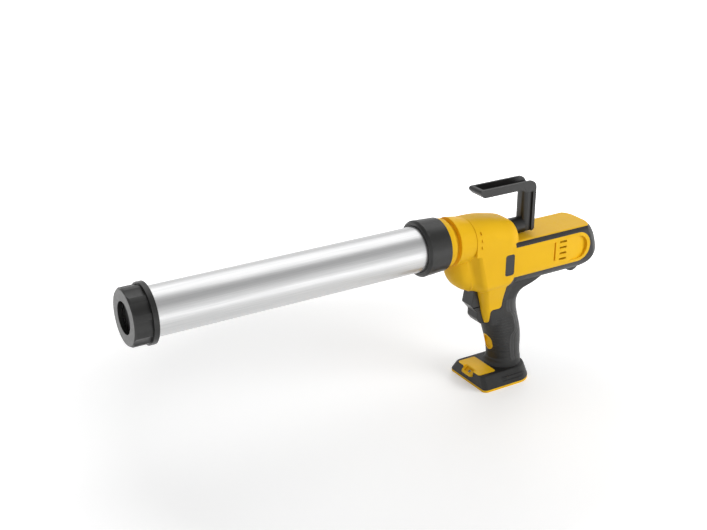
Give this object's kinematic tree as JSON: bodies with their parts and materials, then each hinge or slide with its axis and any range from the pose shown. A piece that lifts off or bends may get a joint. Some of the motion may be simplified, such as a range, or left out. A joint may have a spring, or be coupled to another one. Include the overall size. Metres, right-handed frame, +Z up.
{
  "type": "cordless caulking tool",
  "caption": "Powered caulking tool with an aluminium barrel, screw front cap, toothed plunger rod with a hook handle, and a pistol-grip drive body on a battery foot.",
  "frame": {"origin": "on the surface that the battery foot stands on, under the middle of the tool's length", "axes": "+X along the barrel towards the tail, +Y to the tool user's right, +Z up"},
  "size_m": [0.626, 0.075, 0.26],
  "materials": {
    "yellow_plastic": "moulded, fine satin",
    "black_plastic": "moulded, satin",
    "black_rubber": "over-moulded, fine texture",
    "aluminium_tube": "satin, drawn lengthwise",
    "steel": "machined",
    "dark_steel": "dark plated",
    "brass": "plain",
    "grey_plastic": "moulded",
    "seal_rubber": "smooth",
    "clear_lens": "clear, water-white",
    "board_green": "circuit board"
  },
  "bodies": {
    "housing": {"housing_left": "yellow_plastic", "housing_right": "yellow_plastic", "grip_cover_left": "black_rubber", "grip_cover_right": "black_rubber", "housing_screws": "dark_steel", "nose_socket": "black_plastic", "rod_guide_front": "black_plastic", "rod_guide_rear": "black_plastic", "pinion_bushes": "brass", "gearbox_case": "grey_plastic", "motor_can": "dark_steel", "motor_end_cap": "grey_plastic", "battery_shoe": "black_plastic", "terminal_block": "grey_plastic", "contact_blades": "brass", "foot_insert": "yellow_plastic", "led_board": "board_green", "led_lens": "clear_lens", "switch_body": "black_plastic", "control_module": "grey_plastic"},
    "barrel": {"barrel_tube": "aluminium_tube", "barrel_flange": "black_plastic"},
    "front_cap": {"front_cap": "black_plastic", "cap_seal": "seal_rubber"},
    "collar": {"collar": "black_plastic"},
    "plunger": {"plunger_rod": "steel", "piston": "grey_plastic", "piston_seal": "seal_rubber", "piston_screw": "steel", "hook_handle": "black_plastic", "hook_pin": "steel"},
    "pinion": {"pinion_shaft": "steel", "drive_gear": "steel"},
    "idler": {"idler_gear": "steel"},
    "rotor": {"rotor": "steel"},
    "trigger": {"trigger": "black_plastic"},
    "lock": {"lock_button": "black_plastic"},
    "dial": {"speed_dial": "black_plastic"}
  },
  "joints": [
    {"name": "rod_slide", "type": "slide", "parent": "housing", "child": "plunger", "axis": [1, 0, 0], "range_m": [0, 0.33]},
    {"name": "pinion_spin", "type": "hinge", "parent": "housing", "child": "pinion", "pos_m": [0.117, 0, 0.1864], "axis": [0, 1, 0], "continuous": true},
    {"name": "idler_spin", "type": "hinge", "parent": "housing", "child": "idler", "pos_m": [0.1244, 0, 0.16346], "axis": [0, 1, 0], "continuous": true},
    {"name": "rotor_spin", "type": "hinge", "parent": "housing", "child": "rotor", "pos_m": [0.24, 0, 0.163], "axis": [1, 0, 0], "continuous": true},
    {"name": "barrel_turn", "type": "hinge", "parent": "housing", "child": "barrel", "pos_m": [-0.1, 0, 0.2], "axis": [1, 0, 0], "continuous": true},
    {"name": "collar_turn", "type": "hinge", "parent": "housing", "child": "collar", "pos_m": [0.061, 0, 0.2], "axis": [1, 0, 0], "continuous": true},
    {"name": "cap_turn", "type": "hinge", "parent": "barrel", "child": "front_cap", "pos_m": [-0.3, 0, 0.2], "axis": [1, 0, 0], "continuous": true},
    {"name": "trigger_pull", "type": "slide", "parent": "housing", "child": "trigger", "axis": [1, 0, 0], "range_m": [0, 0.007], "stiffness_N_per_m": 800, "springref_m": -0.004},
    {"name": "lock_slide", "type": "slide", "parent": "housing", "child": "lock", "axis": [0, 1, 0], "range_m": [-0.004, 0]},
    {"name": "dial_turn", "type": "hinge", "parent": "housing", "child": "dial", "pos_m": [0.289, 0, 0.1325], "axis": [0, 1, 0], "range_deg": [0, 270]}
  ],
  "couplings": [
    {"joint": "pinion_spin", "follows": "rod_slide", "rad_per_m": 114.29},
    {"joint": "idler_spin", "follows": "rod_slide", "rad_per_m": -342.86}
  ]
}
